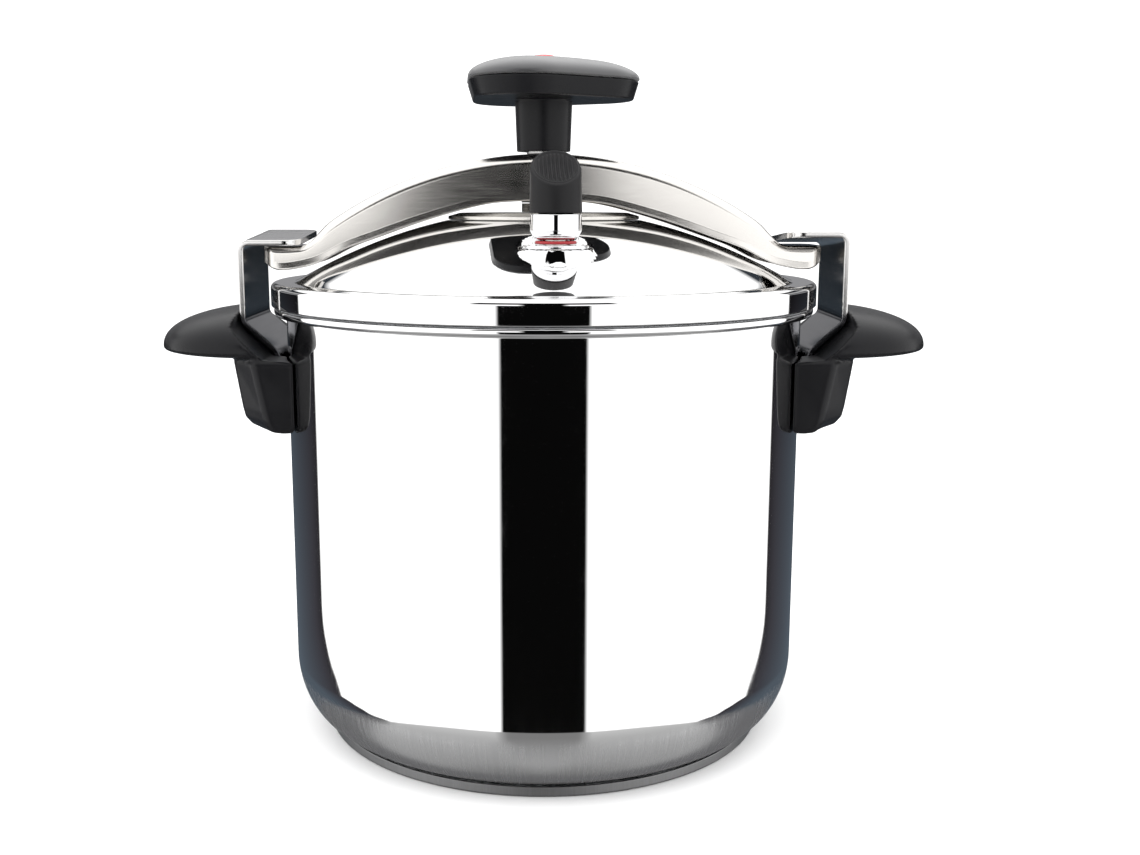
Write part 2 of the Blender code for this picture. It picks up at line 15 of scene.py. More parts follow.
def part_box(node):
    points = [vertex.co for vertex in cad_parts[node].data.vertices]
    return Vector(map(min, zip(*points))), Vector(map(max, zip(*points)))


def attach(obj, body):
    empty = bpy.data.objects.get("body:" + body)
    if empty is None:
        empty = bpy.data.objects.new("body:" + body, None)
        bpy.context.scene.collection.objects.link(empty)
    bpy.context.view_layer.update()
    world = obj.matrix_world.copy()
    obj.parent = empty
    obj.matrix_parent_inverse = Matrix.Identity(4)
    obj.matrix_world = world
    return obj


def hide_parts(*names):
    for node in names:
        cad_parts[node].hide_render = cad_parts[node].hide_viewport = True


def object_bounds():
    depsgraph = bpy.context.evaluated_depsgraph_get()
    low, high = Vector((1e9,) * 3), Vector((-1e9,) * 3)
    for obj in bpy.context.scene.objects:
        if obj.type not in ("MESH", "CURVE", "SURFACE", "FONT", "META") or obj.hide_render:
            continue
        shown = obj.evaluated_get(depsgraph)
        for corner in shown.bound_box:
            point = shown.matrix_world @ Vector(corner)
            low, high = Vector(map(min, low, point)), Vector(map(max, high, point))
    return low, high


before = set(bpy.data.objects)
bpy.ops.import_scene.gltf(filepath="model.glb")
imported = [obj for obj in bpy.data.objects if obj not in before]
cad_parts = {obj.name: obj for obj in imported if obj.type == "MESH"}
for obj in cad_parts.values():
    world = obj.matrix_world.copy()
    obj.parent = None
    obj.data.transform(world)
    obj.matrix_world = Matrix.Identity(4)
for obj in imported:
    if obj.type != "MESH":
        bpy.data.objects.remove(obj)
CAD_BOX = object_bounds()
MM = 0.001


def box(node):
    """Lowest and highest corner of a CAD node in millimetres."""
    low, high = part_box(node)
    return low / MM, high / MM


# Main sizes, from the CAD nodes
POT_LOW, POT_HIGH = box("pot_body")
_, BASE_HIGH = box("base_cap")
LID_LOW, LID_HIGH = box("lid")
DISC_LOW, DISC_HIGH = box("pressure_disc")
_, YOKE_HIGH = box("yoke")
STRAP_LOW, STRAP_HIGH = box("bracket_right")
GRIP_LOW, GRIP_HIGH = box("handle_right")
HUB_LOW, HUB_HIGH = box("knob_body")
_, COVER_HIGH = box("knob_cover")
CAP_LOW, CAP_HIGH = box("valve_cap")
WEIGHT_LOW, WEIGHT_HIGH = box("valve_weight")
FLANGE_LOW, _ = box("vent_flange")
RELIEF_LOW, RELIEF_HIGH = box("safety_valve_body")

POT_R = 111.0
WALL = 1.0
CORNER_R = 19.0
CORNER_TOP = 33.0
POT_STEPS = 288
BEAD_H = 3.6
WALL_JOIN_Z = 60.0
BASE_SHEET = 0.7
LID_SHEET = 0.9
SHOULDER_Z = 195.4
DOME_TOP = 225.5
DOME_CURVE = 0.002644
LID_FLAT_R = 42.0
PAD_R = 13.6
PAD_TOP = FLANGE_LOW.z - 0.3
FRONT = (WEIGHT_LOW.xy + WEIGHT_HIGH.xy) / 2
REAR = (RELIEF_LOW.xy + RELIEF_HIGH.xy) / 2
LID_TURN = math.atan2(FRONT.x, -FRONT.y)
GAP = 0.3
STRAIGHT = math.radians(89.5)


# ---------------------------------------------------------------- meshes

def fillet(outline, radius, steps=4, closed=False):
    """Outline with its corners rounded; a third value is a corner's own radius."""
    count = len(outline)
    points = []
    for index, corner in enumerate(outline):
        here = Vector(corner[:2])
        own = corner[2] if len(corner) > 2 else radius
        if not closed and index in (0, count - 1) or own <= 0:
            points.append(tuple(here))
            continue
        before = Vector(outline[index - 1][:2]) - here
        after = Vector(outline[(index + 1) % count][:2]) - here
        half = before.angle(after) / 2
        if half > STRAIGHT:
            reach = min(own * 0.3, before.length * 0.49, after.length * 0.49)
            ends = here + before.normalized() * reach, here + after.normalized() * reach
            points += [tuple(ends[0].lerp(ends[1], step / steps)) for step in range(steps + 1)]
            continue
        reach = min(own / math.tan(half), before.length * 0.49, after.length * 0.49)
        real = reach * math.tan(half)
        centre = here + (before.normalized() + after.normalized()).normalized() * (real / math.sin(half))
        first = here + before.normalized() * reach - centre
        last = here + after.normalized() * reach - centre
        sweep = first.angle_signed(last)
        for step in range(steps + 1):
            turn = Matrix.Rotation(-sweep * step / steps, 2)
            points.append(tuple(centre + turn @ first))
    return points


def arc(centre, radii, start, end, count):
    """Points on an ellipse's arc, angles in degrees, both ends included."""
    angles = [math.radians(start + (end - start) * step / count) for step in range(count + 1)]
    return [(centre[0] + radii[0] * math.cos(a), centre[1] + radii[1] * math.sin(a)) for a in angles]


def new_mesh(name, verts, faces):
    mesh = bpy.data.meshes.new(name)
    mesh.from_pydata([[value * MM for value in vert] for vert in verts], [], faces)
    form = bmesh.new()
    form.from_mesh(mesh)
    bmesh.ops.recalc_face_normals(form, faces=form.faces)
    form.to_mesh(mesh)
    form.free()
    return mesh


def spun(name, outline, steps, closed=False, at=(0.0, 0.0)):
    """Mesh of an outline of (radius, height) turned round a vertical axis."""
    verts, rows, faces = [], [], []
    for radius, height in outline:
        if radius < 0.0001:
            rows.append([len(verts)] * steps)
            verts.append((at[0], at[1], height))
            continue
        rows.append(list(range(len(verts), len(verts) + steps)))
        for step in range(steps):
            angle = 2 * math.pi * step / steps
            verts.append((at[0] + radius * math.cos(angle), at[1] + radius * math.sin(angle), height))
    pairs = list(zip(rows, rows[1:])) + ([(rows[-1], rows[0])] if closed else [])
    for row, following in pairs:
        for step in range(steps):
            after = (step + 1) % steps
            corners = [row[step], row[after], following[after], following[step]]
            faces.append(tuple(dict.fromkeys(corners)))
    return new_mesh(name, verts, faces)


def plug(radius, low, high):
    """Outline of a solid cylinder."""
    return [(0.0, high), (radius, high), (radius, low), (0.0, low)]


def skinned(name, sections):
    """Closed mesh through closed rows of (x, y, z), all the same length."""
    count = len(sections[0])
    verts = [point for row in sections for point in row]
    faces = [tuple(range(count)), tuple(range(len(verts) - count, len(verts)))]
    for start in range(0, len(verts) - count, count):
        for index in range(count):
            after = (index + 1) % count
            faces.append((start + index, start + after, start + count + after, start + count + index))
    return new_mesh(name, verts, faces)


def piece(name, mesh, body, paint, nodes=(), weighted=True):
    """Put a finished mesh in the scene on its CAD body."""
    mesh.materials.clear()
    mesh.materials.append(paint)
    mesh.shade_smooth()
    mesh.set_sharp_from_angle(angle=math.radians(50))
    thing = bpy.data.objects.new(name, mesh)
    bpy.context.scene.collection.objects.link(thing)
    if weighted:
        normals = thing.modifiers.new("normals", "WEIGHTED_NORMAL")
        normals.keep_sharp = True
    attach(thing, body)
    if nodes:
        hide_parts(*nodes)
    return thing


def lathe(name, outline, body, paint, nodes=(), radius=0.3, steps=160, at=(0.0, 0.0)):
    """A turned piece; an outline that starts on the axis is solid, another a ring."""
    closed = outline[0][0] > 0.0001
    rounded = fillet(outline, radius, closed=closed)
    return piece(name, spun(name, rounded, steps, closed, at), body, paint, nodes)


def baked(thing):
    """Mesh of an object with its modifiers applied; the object is removed."""
    bpy.context.view_layer.update()
    graph = bpy.context.evaluated_depsgraph_get()
    mesh = bpy.data.meshes.new_from_object(thing.evaluated_get(graph), depsgraph=graph)
    bpy.data.objects.remove(thing)
    return mesh


def scratch_object(name, mesh):
    thing = bpy.data.objects.new(name, mesh)
    bpy.context.scene.collection.objects.link(thing)
    return thing


def combined(name, mesh, tools):
    """Mesh after Booleans with (mesh, operation) tools."""
    thing = scratch_object(name, mesh)
    helpers = []
    for index, (tool, operation) in enumerate(tools):
        helper = scratch_object(f"{name}_tool_{index}", tool)
        helpers.append(helper)
        boolean = thing.modifiers.new(operation.lower(), "BOOLEAN")
        boolean.solver = "MANIFOLD"
        boolean.operation = operation
        boolean.object = helper
    made = baked(thing)
    for helper in helpers:
        bpy.data.objects.remove(helper)
    return made


def eased(low, high, value):
    """Smooth step from 0 at low to 1 at high."""
    t = min(1.0, max(0.0, (value - low) / (high - low)))
    return t * t * (3 - 2 * t)


# ---------------------------------------------------------------- materials

class Paint:
    """A Principled material with short ways to add procedural detail."""

    def __init__(self, name, colour, roughness, metallic=0.0, **sockets):
        self.material = bpy.data.materials.new(name)
        self.material.use_nodes = True
        self.tree = self.material.node_tree
        self.shader = self.tree.nodes["Principled BSDF"]
        self.set("Base Color", (*colour, 1.0))
        self.set("Roughness", roughness)
        self.set("Metallic", metallic)
        for socket, value in sockets.items():
            self.set(socket.replace("_", " "), value)
        self.place = self.node("ShaderNodeTexCoord").outputs["Object"]

    def set(self, socket, value):
        self.shader.inputs[socket].default_value = value

    def node(self, kind, **values):
        made = self.tree.nodes.new(kind)
        for name, value in values.items():
            setattr(made, name, value)
        return made

    def link(self, source, target):
        self.tree.links.new(source, target)

    def math(self, operation, first, second=0.0, third=None):
        made = self.node("ShaderNodeMath", operation=operation)
        for socket, value in zip(made.inputs, (first, second, third)):
            if value is None:
                continue
            if isinstance(value, (int, float)):
                socket.default_value = value
            else:
                self.link(value, socket)
        return made.outputs[0]

    def scaled(self, scale):
        mapping = self.node("ShaderNodeMapping")
        mapping.inputs["Scale"].default_value = scale
        self.link(self.place, mapping.inputs["Vector"])
        return mapping.outputs["Vector"]

    def noise(self, scale, detail=3.0, roughness=0.55, where=None):
        """Noise from 0 to 1; scale is in waves per metre along X, Y and Z."""
        made = self.node("ShaderNodeTexNoise")
        made.inputs["Scale"].default_value = 1.0
        made.inputs["Detail"].default_value = detail
        made.inputs["Roughness"].default_value = roughness
        self.link(self.scaled(scale) if where is None else where, made.inputs["Vector"])
        return made.outputs["Fac"]

    def remap(self, value, low, high, to_low, to_high, smooth=False):
        made = self.node("ShaderNodeMapRange")
        made.interpolation_type = "SMOOTHSTEP" if smooth else "LINEAR"
        limits = {"From Min": low, "From Max": high, "To Min": to_low, "To Max": to_high}
        for socket, number in limits.items():
            made.inputs[socket].default_value = number
        self.link(value, made.inputs["Value"])
        return made.outputs["Result"]

    def blend(self, factor, first, second):
        """Colour between two colours."""
        made = self.node("ShaderNodeMix", data_type="RGBA")
        for name, value in (("A", first), ("B", second)):
            socket = next(s for s in made.inputs if s.name == name and s.type == "RGBA")
            if isinstance(value, tuple):
                socket.default_value = (*value, 1.0)
            else:
                self.link(value, socket)
        self.link(factor, made.inputs["Factor"])
        return next(s for s in made.outputs if s.type == "RGBA")

    def colour(self, socket):
        self.link(socket, self.shader.inputs["Base Color"])

    def roughness(self, socket):
        self.link(socket, self.shader.inputs["Roughness"])

    def bump(self, height, strength, distance):
        made = self.node("ShaderNodeBump")
        made.inputs["Strength"].default_value = strength
        made.inputs["Distance"].default_value = distance * MM
        self.link(height, made.inputs["Height"])
        previous = self.shader.inputs["Normal"].links
        if previous:
            self.link(previous[0].from_socket, made.inputs["Normal"])
        self.link(made.outputs["Normal"], self.shader.inputs["Normal"])

    def angle(self):
        """Angle round the Z axis in turns, -0.5 to 0.5."""
        split = self.node("ShaderNodeSeparateXYZ")
        self.link(self.place, split.inputs["Vector"])
        turned = self.math("ARCTAN2", split.outputs["Y"], split.outputs["X"])
        return self.math("DIVIDE", turned, 2 * math.pi), split.outputs["Z"]


def mirror_steel(name, satin_below=None):
    """Mirror-polished stainless steel; below one height it is satin-brushed."""
    paint = Paint(name, (0.80, 0.80, 0.805), 0.04, 1.0)
    smudge = paint.noise((9, 9, 14), 4.0, 0.6)
    hairline = paint.noise((700, 700, 60), 2.0)
    smooth = paint.remap(smudge, 0.35, 0.75, 0.020, 0.045)
    polish = paint.math("ADD", smooth, paint.remap(hairline, 0.55, 0.8, 0.0, 0.03))
    tint = paint.blend(smudge, (0.81, 0.81, 0.815), (0.785, 0.783, 0.78))
    if satin_below is None:
        paint.roughness(polish)
        paint.colour(tint)
        paint.bump(hairline, 0.02, 0.02)
        return paint.material
    turns, height = paint.angle()
    satin = paint.remap(height, (satin_below - 2.5) * MM, (satin_below + 2.5) * MM, 1.0, 0.0, True)
    joined = paint.node("ShaderNodeCombineXYZ")
    paint.link(paint.math("MULTIPLY", turns, 900.0), joined.inputs["X"])
    paint.link(paint.math("MULTIPLY", height, 25.0), joined.inputs["Y"])
    streak = paint.noise(None, 4.0, 0.65, joined.outputs["Vector"])
    rough = paint.remap(streak, 0.3, 0.7, 0.20, 0.30)
    mixed = paint.math("MULTIPLY_ADD", satin, paint.math("SUBTRACT", rough, polish), polish)
    paint.roughness(mixed)
    brushed = paint.blend(streak, (0.70, 0.70, 0.705), (0.84, 0.84, 0.845))
    paint.colour(paint.blend(satin, tint, brushed))
    paint.bump(paint.math("MULTIPLY", streak, satin), 0.12, 0.06)
    return paint.material


def brushed_steel(name, light, dark, along, rough, grain=0.05, painted_shade_below=None):
    """Satin steel with fine lines that run along one axis; below one height its colour is painted shade, a
    dark grey painted in.
    """
    scale = [1400.0, 1400.0, 1400.0]
    scale["XYZ".index(along)] = 45.0
    paint = Paint(name, light, 0.3, 1.0)
    line = paint.noise(scale, 3.0, 0.6)
    cloud = paint.noise((26, 26, 26), 3.0)
    mixed = paint.math("MULTIPLY_ADD", paint.math("SUBTRACT", cloud, 0.5), 0.5, line)
    steel = paint.blend(paint.remap(mixed, 0.25, 0.75, 0.0, 1.0), dark, light)
    # Painted shade: below this height the colour turns dark grey, standing in for the shade on the strap's
    # lower slope beside the handle.
    if painted_shade_below is not None:
        _, height = paint.angle()
        painted_shade = paint.remap(height, (painted_shade_below - 2.0) * MM, (painted_shade_below + 2.0) * MM, 1.0, 0.0, True)
        steel = paint.blend(painted_shade, steel, (0.13, 0.13, 0.14))
    paint.colour(steel)
    paint.roughness(paint.remap(mixed, 0.25, 0.75, *rough))
    paint.bump(line, grain, 0.04)
    return paint.material


def turned_metal(name, colour, rough, metallic=1.0):
    """Lathe-turned metal with faint rings and stains."""
    paint = Paint(name, colour, rough, metallic)
    ring = paint.noise((60, 60, 2600), 2.0)
    cloud = paint.noise((160, 160, 160), 3.0)
    darker = tuple(value * 0.86 for value in colour)
    paint.colour(paint.blend(paint.remap(cloud, 0.3, 0.7, 0.0, 1.0), colour, darker))
    paint.roughness(paint.remap(ring, 0.3, 0.7, rough * 0.8, rough * 1.25))
    paint.bump(ring, 0.05, 0.02)
    return paint.material


def moulded(name, colour, rough, grain, specular=0.5, sheen=0.0, worn=1.25):
    """Moulded plastic: fine grain, uneven gloss and lighter rubbed spots."""
    paint = Paint(name, colour, rough, Specular_IOR_Level=specular, Sheen_Weight=sheen)
    fine = paint.noise((2300, 2300, 2300), 2.0)
    cloud = paint.noise((55, 55, 55), 4.0, 0.6)
    lighter = tuple(value * worn for value in colour)
    paint.colour(paint.blend(paint.remap(cloud, 0.35, 0.7, 0.0, 1.0), colour, lighter))
    paint.roughness(paint.math("ADD", paint.remap(cloud, 0.3, 0.7, -0.04, 0.05),
                               paint.remap(fine, 0.3, 0.7, rough - 0.03, rough + 0.03)))
    paint.bump(fine, grain, 0.05)
    paint.bump(cloud, 0.03, 0.2)
    return paint.material


def rubber(name, colour):
    paint = Paint(name, colour, 0.5)
    cloud = paint.noise((300, 300, 300), 3.0)
    darker = tuple(value * 0.8 for value in colour)
    paint.colour(paint.blend(cloud, colour, darker))
    paint.roughness(paint.remap(cloud, 0.3, 0.7, 0.42, 0.6))
    paint.bump(cloud, 0.1, 0.05)
    return paint.material


POT_STEEL = mirror_steel("pot_mirror_steel", satin_below=CORNER_TOP - 4.5)
LID_STEEL = mirror_steel("lid_mirror_steel")
WARM_STEEL = brushed_steel(
    "yoke_brushed_steel", (0.74, 0.715, 0.685), (0.69, 0.67, 0.64), along="X", rough=(0.15, 0.21),
)
# The strap's colour is painted dark below 182 mm: painted shade on its lower slope and foot, where it runs
# down into the handle.
STRAP_STEEL = brushed_steel(
    "strap_brushed_steel", (0.76, 0.75, 0.74), (0.71, 0.70, 0.69), along="Y", rough=(0.12, 0.18),
    grain=0.02, painted_shade_below=182.0,
)
# Painted shade: the capsule base's colour is dark grey, standing in for the shadowed floor that its side
# reflects.
BASE_STEEL_PAINTED_SHADE = brushed_steel(
    "base_steel_painted_shade", (0.24, 0.24, 0.245), (0.19, 0.19, 0.19), along="Z", rough=(0.42, 0.52),
)
DISC_STEEL = turned_metal("disc_turned_steel", (0.70, 0.68, 0.645), 0.26)
ALUMINIUM = turned_metal("turned_aluminium", (0.72, 0.73, 0.75), 0.38)
CHROME = turned_metal("bright_chrome", (0.88, 0.88, 0.89), 0.035)
BRASS = turned_metal("turned_brass", (0.75, 0.58, 0.30), 0.28)
SPINDLE_STEEL = turned_metal("spindle_steel", (0.55, 0.545, 0.54), 0.30)
BLACK = moulded("grip_black_moulding", (0.006, 0.006, 0.007), 0.31, 0.06, specular=0.17)
COVER_BLACK = moulded("knob_cover_black", (0.012, 0.012, 0.014), 0.36, 0.04, specular=0.95, sheen=0.30)
CAP_BLACK = moulded("valve_cap_black", (0.007, 0.0068, 0.0075), 0.46, 0.10, specular=0.20)
RED = moulded("badge_red_enamel", (0.55, 0.03, 0.035), 0.30, 0.04)
RED_RUBBER = rubber("red_silicone", (0.42, 0.03, 0.035))
GREY_RUBBER = rubber("grey_silicone", (0.50, 0.51, 0.53))


# ---------------------------------------------------------------- pot

def make_pot():
    rim = POT_HIGH.z
    bead = POT_HIGH.x
    underside = POT_LOW.z

    def corner(offset):
        radii = (CORNER_R - offset, CORNER_TOP - underside - offset)
        return arc((POT_R - CORNER_R, CORNER_TOP), radii, 0, -90, 40)

    bead_low = rim - BEAD_H
    edge = fillet([
        (POT_R - WALL, WALL_JOIN_Z),
        (POT_R - WALL, rim, 0.8),
        (bead, rim, 1.5),
        (bead, bead_low, 1.5),
        (POT_R, bead_low, 0.9),
        (POT_R, WALL_JOIN_Z),
    ], 0.8, steps=6)
    inside = [(0.0, underside + WALL), *reversed(corner(WALL))]
    outline = inside + edge + corner(0.0) + [(0.0, underside)]
    shell = spun("pot_shell", outline, POT_STEPS)
    piece("pot_shell", shell, "pot", POT_STEEL, ["pot_body"])
    cap = [
        (0.0, BASE_SHEET),
        (BASE_HIGH.x - BASE_SHEET, BASE_SHEET, 0.3),
        (BASE_HIGH.x - BASE_SHEET, BASE_HIGH.z, 0.2),
        (BASE_HIGH.x, BASE_HIGH.z, 0.3),
        (BASE_HIGH.x, 0.0, 1.0),
        (0.0, 0.0),
    ]
    lathe("capsule_base", cap, "pot", BASE_STEEL_PAINTED_SHADE, ["base_cap"], steps=POT_STEPS)


# ---------------------------------------------------------------- lid

def lid_height(x, y, offset):
    """Height of the lid's crown, with a flat pad pressed in for each valve."""
    radius = max(math.hypot(x, y), LID_FLAT_R)
    crown = DOME_TOP - DOME_CURVE * radius ** 2
    for centre in (FRONT, REAR):
        away = math.hypot(x - centre.x, y - centre.y)
        share = eased(PAD_R - 0.7, PAD_R + 0.7, away)
        crown = PAD_TOP + (crown - PAD_TOP) * share
    return crown - offset


def lid_skin(offset):
    """Rows of radii for one face of the lid: crown, shoulder and skirt."""
    crown = [0.0, 20.0, 38.0, 40.0, 41.2, 42.0, 42.8, 44.0, 46.0, 50.0, 54.0, 57.0]
    crown += [58.0 + 0.8 * step for step in range(38)]
    crown += [89.5, 92.0, 95.0, 98.0, 101.0, 103.5, 105.0]
    shoulder = fillet([
        (105.0, DOME_TOP - DOME_CURVE * 105.0 ** 2 - offset),
        (107.2, SHOULDER_Z - offset, 3.0),
        (LID_HIGH.x - offset, SHOULDER_Z - offset, 2.4 - offset),
        (LID_HIGH.x - offset, LID_LOW.z),
    ], 2.0, steps=7)
    return crown, shoulder[1:-1]


def make_lid():
    steps = 360
    verts, rows, faces = [], [], []

    def ring(radius, height):
        rows.append(list(range(len(verts), len(verts) + steps)) if radius else [len(verts)] * steps)
        for step in range(steps if radius else 1):
            angle = 2 * math.pi * step / steps
            x, y = radius * math.cos(angle), radius * math.sin(angle)
            verts.append((x, y, height(x, y) if callable(height) else height))

    crown, shoulder = lid_skin(0.0)
    for radius in crown:
        ring(radius, lambda x, y: lid_height(x, y, 0.0))
    for radius, height in shoulder:
        ring(radius, height)
    edge = fillet([
        (LID_HIGH.x, LID_LOW.z + 2.0),
        (LID_HIGH.x, LID_LOW.z, 0.4),
        (LID_HIGH.x - LID_SHEET, LID_LOW.z, 0.4),
        (LID_HIGH.x - LID_SHEET, LID_LOW.z + 2.0),
    ], 0.4)
    for radius, height in edge:
        ring(radius, height)
    crown, shoulder = lid_skin(LID_SHEET)
    for radius, height in reversed(shoulder):
        ring(radius, height)
    for radius in reversed(crown):
        ring(radius, lambda x, y: lid_height(x, y, LID_SHEET))
    for row, following in zip(rows, rows[1:]):
        for step in range(steps):
            after = (step + 1) % steps
            corners = [row[step], row[after], following[after], following[step]]
            faces.append(tuple(dict.fromkeys(corners)))
    piece("lid_shell", new_mesh("lid_shell", verts, faces), "lid", LID_STEEL, ["lid"])


def make_disc():
    outline = [
        (0.0, DISC_HIGH.z),
        (DISC_HIGH.x - 5.0, DISC_HIGH.z, 3.0),
        (DISC_HIGH.x, DISC_HIGH.z - 1.4, 0.5),
        (DISC_HIGH.x, DISC_LOW.z, 0.5),
        (0.0, DISC_LOW.z),
    ]
    lathe("load_disc", outline, "lid", DISC_STEEL, ["pressure_disc"], steps=240)


# ---------------------------------------------------------------- yoke

YOKE_SHEET = 2.0
YOKE_ARCH_R = 161.0
YOKE_EDGE_R = 5.0
YOKE_LIP = 0.9
YOKE_TURN = math.radians(1.8)
YOKE_REACH = 119.0
YOKE_HALF_WIDTH = 21.5
YOKE_NARROWING = 5.5
YOKE_END_TOP = 210.2
YOKE_BEND = [
    (94.5, 217.2), (97.8, 212.6), (101.6, YOKE_END_TOP), (106.0, YOKE_END_TOP), (YOKE_REACH, YOKE_END_TOP),
]
YOKE_HOLE_R = 6.6
YOKE_HEM = [
    (0.0, 229.2), (25.0, 227.6), (40.0, 223.9), (57.0, 218.7), (71.0, 213.7),
    (85.0, 208.6), (95.5, 203.2), (103.0, 201.2), (115.5, 201.2), (YOKE_REACH, 203.4),
]


def smooth_line(points, x):
    """Height at x on a smooth line through points that run outward in x."""
    xs = [point[0] for point in points]
    zs = [point[1] for point in points]
    slopes = np.gradient(zs, xs)
    index = min(max(int(np.searchsorted(xs, x)) - 1, 0), len(xs) - 2)
    span = xs[index + 1] - xs[index]
    t = (x - xs[index]) / span
    return (
        (2 * t ** 3 - 3 * t ** 2 + 1) * zs[index]
        + (t ** 3 - 2 * t ** 2 + t) * span * slopes[index]
        + (3 * t ** 2 - 2 * t ** 3) * zs[index + 1]
        + (t ** 3 - t ** 2) * span * slopes[index + 1]
    )


def arch(x):
    return YOKE_HIGH.z - YOKE_ARCH_R + math.sqrt(YOKE_ARCH_R ** 2 - x ** 2)


def yoke_lines(stations):
    """Top and hem heights at each station, evened out a little."""
    ends = [(80.0, arch(80.0)), (88.0, arch(88.0)), *YOKE_BEND]
    tops = np.array([arch(x) if x < 84.0 else smooth_line(ends, x) for x in stations])
    hems = np.array([smooth_line(YOKE_HEM, x) for x in stations])
    for line in (tops, hems):
        for _ in range(4):
            line[1:-1] = (line[:-2] + 2 * line[1:-1] + line[2:]) / 4
    return tops, hems


def channel_section(x, top, hem):
    """Closed outline of the pressed channel at one station."""
    rounding = 4.5 * eased(YOKE_REACH - 5.0, YOKE_REACH + 0.5, x) ** 2
    half = YOKE_HALF_WIDTH - YOKE_NARROWING * (x / YOKE_REACH) ** 2 - rounding
    lip = YOKE_LIP * (1 - eased(YOKE_REACH - 12.0, YOKE_REACH, x))
    outer = fillet([
        (0.0, top),
        (half, top, YOKE_EDGE_R),
        (half, hem + 3.2, 2.0),
        (half + lip, hem, 0.7),
        (half + lip - YOKE_SHEET, hem, 0.7),
        (half - YOKE_SHEET, hem + 3.2, 2.0),
        (half - YOKE_SHEET, top - YOKE_SHEET, YOKE_EDGE_R - YOKE_SHEET),
        (0.0, top - YOKE_SHEET),
    ], 1.0, steps=8)
    mirrored = [(-y, z) for y, z in reversed(outer)][1:-1]
    return [(x, y, z) for y, z in outer + mirrored]


def make_yoke():
    end = YOKE_REACH - 6.0
    half = [*np.arange(0.0, end, 1.6), *np.arange(end, YOKE_REACH - 0.01, 0.5), YOKE_REACH]
    tops, hems = yoke_lines(half)
    half_rows = [channel_section(x, top, hem) for x, top, hem in zip(half, tops, hems)]
    mirrored = [[(-x, y, z) for x, y, z in row] for row in reversed(half_rows[1:])]
    channel = skinned("yoke_channel", mirrored + half_rows)
    top = YOKE_HIGH.z
    hole = spun("yoke_hole", plug(YOKE_HOLE_R, top - 6.0, top + 5.0), 48)
    channel = combined("yoke_channel", channel, [(hole, "DIFFERENCE")])
    channel.transform(Matrix.Rotation(YOKE_TURN, 4, "Z"))
    piece("yoke_channel", channel, "yoke", WARM_STEEL, ["yoke"])


# ---------------------------------------------------------------- brackets

STRAP = 2.4
FLANGE_RISE = 1.7
FLANGE_CORNER_R = 6.4
FLANGE_FROM_Z = 200.0
CLIMB_FROM_Z = 185.0
CLIMB_TO_Z = 205.0
STRAP_FOOT_X = 113.7
STRAP_SLOPE_HIGH = 178.3
STRAP_SLOPE_LOW = 164.9


def make_bracket(side, turn):
    """Steel strap swept down its path, with soft edges."""
    outer_x = STRAP_HIGH.x
    top = STRAP_HIGH.z - FLANGE_RISE
    path = fillet([
        (STRAP_LOW.x, top),
        (outer_x, top, 4.6),
        (outer_x, STRAP_SLOPE_HIGH, 6.0),
        (STRAP_FOOT_X, STRAP_SLOPE_LOW, 4.5),
        (STRAP_FOOT_X, STRAP_LOW.z),
    ], 4.0, steps=10)
    path = list(spaced(path, 1.5))
    half = STRAP_HIGH.y
    rows = []
    for index, (x, z) in enumerate(path):
        before, after = path[max(index - 1, 0)], path[min(index + 1, len(path) - 1)]
        along = Vector((after[0] - before[0], after[1] - before[1])).normalized()
        inward = Vector((along.y, -along.x))
        into_corner = max(STRAP_LOW.x + FLANGE_CORNER_R - x, 0.0) if z > FLANGE_FROM_Z else 0.0
        width = half - FLANGE_CORNER_R + math.sqrt(max(FLANGE_CORNER_R ** 2 - into_corner ** 2, 0.01))
        climb = FLANGE_RISE / half * eased(CLIMB_FROM_Z, CLIMB_TO_Z, z)
        outline = fillet([(-width, 0.0), (width, 0.0), (width, STRAP), (-width, STRAP)], 0.55, closed=True)
        row = []
        for y, depth in outline:
            spot = Vector((x, z)) + inward * depth
            row.append((spot.x, y, spot.y - climb * y))
        rows.append(row)
    mesh = skinned(f"strap_{side}", rows)
    mesh.transform(Matrix.Rotation(turn, 4, "Z"))
    piece(f"strap_{side}", mesh, "pot", STRAP_STEEL, [f"bracket_{side}"])


def spaced(path, step):
    """Path with long runs cut into shorter ones."""
    yield path[0]
    for first, last in zip(path, path[1:]):
        length = math.dist(first, last)
        count = max(1, round(length / step))
        for index in range(1, count + 1):
            t = index / count
            yield (first[0] + (last[0] - first[0]) * t, first[1] + (last[1] - first[1]) * t)


# ---------------------------------------------------------------- handles

def grip_mesh():
    """Rounded wing: a superellipsoid, high above its edge and shallow below."""
    root, crown, belly, edge_z = 112.0, 17.5, 4.0, 167.5
    reach = GRIP_HIGH.x - root
    form = bmesh.new()
    bmesh.ops.create_uvsphere(form, u_segments=120, v_segments=60, radius=1.0)
    for vert in form.verts:
        x, y, z = (math.copysign(abs(value) ** 0.86, value) for value in vert.co)
        vert.co = (
            (root + reach * x) * MM,
            GRIP_HIGH.y * y * MM,
            (edge_z + (crown if z > 0 else belly) * z) * MM,
        )
    mesh = bpy.data.meshes.new("grip")
    form.to_mesh(mesh)
    form.free()
    return mesh


def leg_row(z, inner, ridge, outer, width):
    front = [
        (inner, width - 2.8), (ridge, width), (ridge + 2.0, width - 1.2),
        (outer - 1.0, width - 14.5), (outer, width - 17.0),
    ]
    back = [(x, -y) for x, y in reversed(front)]
    return [(x, y, z) for x, y in front + back]


def block(name, path, half):
    """Prism of an outline in XZ, across Y."""
    return skinned(name, [[(x, y, z) for x, z in path] for y in (-half, half)])


def cross_rod(name, radius, start, end):
    """Cylinder along X at the studs' height."""
    centre_z = sum(value.z for value in box("handle_stud_right")) / 2
    ring = [2 * math.pi * step / 40 for step in range(40)]
    circle = [(radius * math.cos(angle), centre_z + radius * math.sin(angle)) for angle in ring]
    return skinned(name, [[(x, y, z) for y, z in circle] for x in (start, end)])


